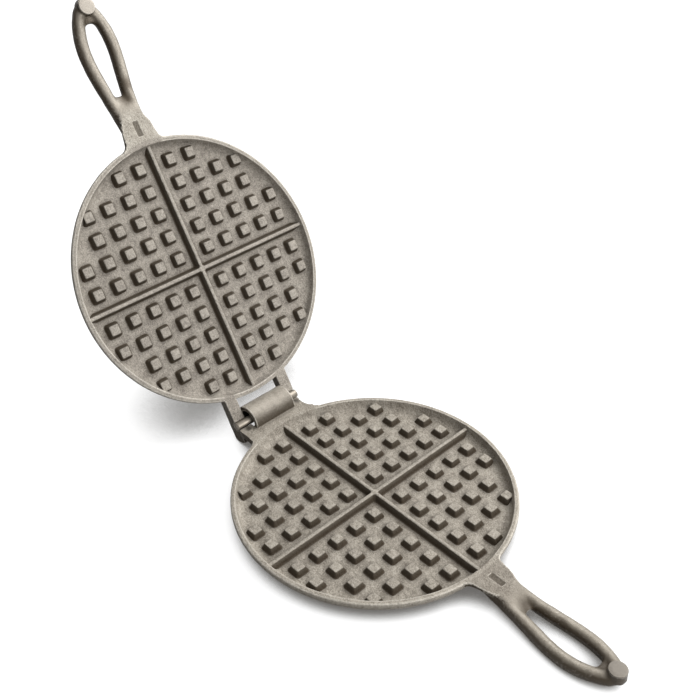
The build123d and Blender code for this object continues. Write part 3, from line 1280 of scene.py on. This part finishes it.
@dataclass
class Studio:
    """Pale floor, soft light and the camera."""

    lens: float = 52.46
    sensor: float = 36.0
    camera_at: Point = (0.3255, -0.3312, 0.4787)
    looks_along: Point = (-0.57682, 0.54844, -0.60539)
    lit_spot: Point = (-0.05, 0, 0.05)
    softboxes: tuple[tuple[str, Point, float, float], ...] = (
        ("overhead_softbox", (0.0, 0.85, 0.95), 1.2, 22.0),
        ("side_softbox", (1.1, 0.15, 0.75), 0.9, 14.0),
    )
    sky: float = 0.1
    floor_half: float = 4.0
    shadow_reaches: tuple[tuple[float, int], ...] = ((0.02, 12), (0.05, 24), (0.12, 24))
    shadow: str = "#6d6b68"
    paper: str = "#808080"
    paper_glow: float = 0.97
    cast_share: float = 0.25

    def build(self) -> None:
        """Build the floor, the lamps, the world and the camera."""
        self.floor()
        for name, at, width, watts in self.softboxes:
            light = bpy.data.lights.new(name, "AREA")
            light.shape = "RECTANGLE"
            light.size = light.size_y = width
            light.energy = watts
            lamp = link_object(name, light)
            lamp.location = at
            away = Vector(at) - Vector(self.lit_spot)
            lamp.rotation_euler = away.to_track_quat("Z", "Y").to_euler()
        self.world()
        self.camera()
        bpy.context.scene.view_settings.view_transform = "Standard"

    def floor(self) -> None:
        """Lay a plain pale floor that stays white to the camera but for shadows."""
        mesh = bpy.data.meshes.new("floor")
        half, low = self.floor_half, -0.05 * MM
        ways = ((-1, -1), (1, -1), (1, 1), (-1, 1))
        corners = [(half * x, half * y, low) for x, y in ways]
        mesh.from_pydata(corners, [], [(0, 1, 2, 3)])
        paper, node = blank_material("white_paper_sweep")
        path = node("LightPath")
        mirrored = first(path, "Is Glossy Ray"), first(path, "Is Transmission Ray")
        mirrored = node("Math MAXIMUM", *mirrored)
        real = node("Mix RGBA", mirrored, linear(self.paper), WHITE)
        real = node("BsdfDiffuse", real)

        # How much sky a spot of floor sees within three reaches tells how dark it is: nearly
        # closed in is dark, and a form that hovers over it gives a faint wide shadow.
        near, mid, far = (
            first(node("AmbientOcclusion", {"Distance": reach}, samples=count), "AO")
            for reach, count in self.shadow_reaches
        )
        near = node("MapRange SMOOTHSTEP", near, 0.24, 0.68)
        hover = node("Math SUBTRACT", mid, far)
        hover = node("MapRange SMOOTHSTEP", hover, 0.03, 0.17)
        over = node("MapRange", far, 0.75, 0.6, 0.0, 0.84)
        lit = node("Math MULTIPLY", hover, over)
        lit = node("Math SUBTRACT", 1.0, lit)
        lit = node("Math MULTIPLY", near, lit)
        seen = node("Mix RGBA", lit, linear(self.shadow), WHITE)
        glow = node("Emission", seen, self.paper_glow)
        cast = node("VectorMath SCALE", seen, self.cast_share)
        seen = node("AddShader", glow, node("BsdfDiffuse", cast))
        paper.cycles.emission_sampling = "NONE"
        both = node("MixShader", first(path, "Is Camera Ray"), real, seen)
        node("OutputMaterial", both)
        mesh.materials.append(paper)
        link_object("floor", mesh)

    def world(self) -> None:
        """Fill the surroundings with even light, white where the camera or a gloss sees it."""
        world = bpy.data.worlds.new("studio")
        bpy.context.scene.world = world
        world.use_nodes = True
        world.node_tree.nodes.clear()
        node = partial(add, world.node_tree)
        path, direct = node("LightPath"), 0.0
        for ray in ("Is Camera Ray", "Is Transmission Ray", "Is Glossy Ray"):
            direct = node("Math MAXIMUM", first(path, ray), direct)
        fill = node("Background", (1.0, 0.99, 0.98, 1), self.sky)
        node("OutputWorld", node("MixShader", direct, fill, node("Background", WHITE, 1.0)))

    def camera(self) -> None:
        """Set up the camera."""
        data = bpy.data.cameras.new("camera")
        data.sensor_width, data.lens = self.sensor, self.lens
        data.clip_start = 0.01
        camera = link_object("camera", data)
        camera.location = self.camera_at
        camera.rotation_euler = Vector(self.looks_along).to_track_quat("-Z", "Y").to_euler()
        bpy.context.scene.camera = camera


# --- the whole iron


def main() -> None:
    """Build the whole iron, its floor, its light and its camera."""
    logging.basicConfig(level=logging.INFO, format="%(name)s: %(message)s")
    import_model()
    Studio().build()

    base, lid = Casting.BASE, Casting.LID
    # The painted corner shade fades out past the dish.
    dish = {"corner_shade_within": 81.0}
    base_skin = SandCastIron("sand_cast_iron_base", base, edge_wear_and_highlight=0.6, corner_shade_mm=4.6, **dish)
    lid_skin = SandCastIron("sand_cast_iron_lid", lid, light="#aea79c", dark="#69625a", **dish)
    base_skin, lid_skin = base_skin.build(), lid_skin.build()
    grip = {"edge_wear_and_highlight": 0.9, "smoothed": (Smoothed.TO_THE_GRIP, 108.0, 122.0)}
    base_grip = SandCastIron(
        "fettled_cast_iron_base_handle",
        base,
        light="#9e978c",
        dark="#5f574c",
        smooth_light="#8a8377",
        smooth_roughness=0.44,
        metallic=0.22,
        # Painted shade in the fork's valley and at the loop's tip.
        shade_patches=((123, 1, -4.5, 8.5), (133, 3, -6, 8), (143, 6, -7, 6.5), (177, 0, -6, 8.5)),
        shade_patch_colour="#3a3023",
        **grip,
    ).build()
    lid_grip = SandCastIron(
        "fettled_cast_iron_lid_handle",
        lid,
        light="#b8b2a7",
        dark="#777065",
        smooth_light="#857e73",
        evenness=0.75,
        smooth_roughness=0.4,
        metallic=0.3,
        # Painted shade in the fork's valley and at the loop's tip.
        shade_patches=((122, 0, -5, 8), (131, -5, -6, 8), (175, 1.5, -6, 9.5)),
        shade_patch_colour="#43382a",
        **grip,
    ).build()
    hinge_skin = SandCastIron(
        "sand_cast_iron_hinge",
        base,
        light="#aea79b",
        smoothed=(Smoothed.TO_THE_TOP, 0.8, 2.0),
        smooth_light="#b4ada1",
        evenness=0.3,
        # Painted shadow in the gaps under the pin beside the ears.
        shade_patches=((-101, -21.5, -1, 4), (-101, 21.5, -1, 4)),
        shade_patch_colour="#2f2a23",
    ).build()
    base_cut = GroundIron("ground_cast_iron_base", base, (185.0, 0.0), "#544e46", "#726c63").build()
    lid_cut = GroundIron("ground_cast_iron_lid", lid, (184.2, 0.5), "#7d766c", "#a59e94").build()

    button = [(0, -2.2), (5.1, -2.2), (5.45, -1.6), (5.45, -0.35)]
    button += [(5.3, -0.1), (5.0, 0.0), (2.5, 0.03), (0, 0.03)]
    half_bar = [(3.0, 26.1), (2.8, 26.4), (2.4, 26.6), (0, 26.6)]
    bar = [(radius, -end) for radius, end in half_bar[::-1]] + half_bar
    across = Matrix.Translation((HINGE_X, 0, PIN_Z)) @ Matrix.Rotation(pi / 2, 4, "X")
    base_boss, lid_boss = Matrix.Translation((185, 0, 0)), Matrix.Translation((184.2, 0.5, 0))
    ears = {"lid_ear_left": (8, 18.2, 26.2), "lid_ear_right": (9, -26.2, -18.2)}

    turning, waffle = turning_tree(), waffle_tree()
    pieces = [
        CookingPlate(base, base_skin, seed=3).build(turning, waffle),
        CookingPlate(lid, lid_skin, 11, front_shift=3.0, back_centre=22.2, back_half=4.2).build(
            turning, waffle
        ),
        Handle(base, "base_handle", base_grip, seed=2, flank_shade=0.95, burr=0.16, one_side_shade=-0.3).build(),
        Handle(
            lid, "lid_handle", lid_grip, 5, middle=3.0, flank_shade=1.0, burr=0.35, one_side_shade=0.3, sway=-2.5
        ).build(),
        HingeShelf(
            base, "base_hinge_hook", hinge_skin, 7, [RimRoot(-1, -27, 27, -8.6, 3.0)], flank_shade=0.85
        ).build(),
        *(
            Outgrowth(lid, name, lid_skin, seed, [RimRoot(-1, low, high, -5.8)]).build()
            for name, (seed, low, high) in ears.items()
        ),
        TurnedPiece(
            "hinge_pin_bar", lid, DrawnSteel().build(), bar, across, "steel_pin", "hinge_pin"
        ).build(turning),
        TurnedPiece("base_handle_boss", base, base_cut, button, base_boss).build(turning),
        TurnedPiece("lid_handle_boss", lid, lid_cut, button, lid_boss).build(turning),
    ]


if __name__ == "__main__":
    main()
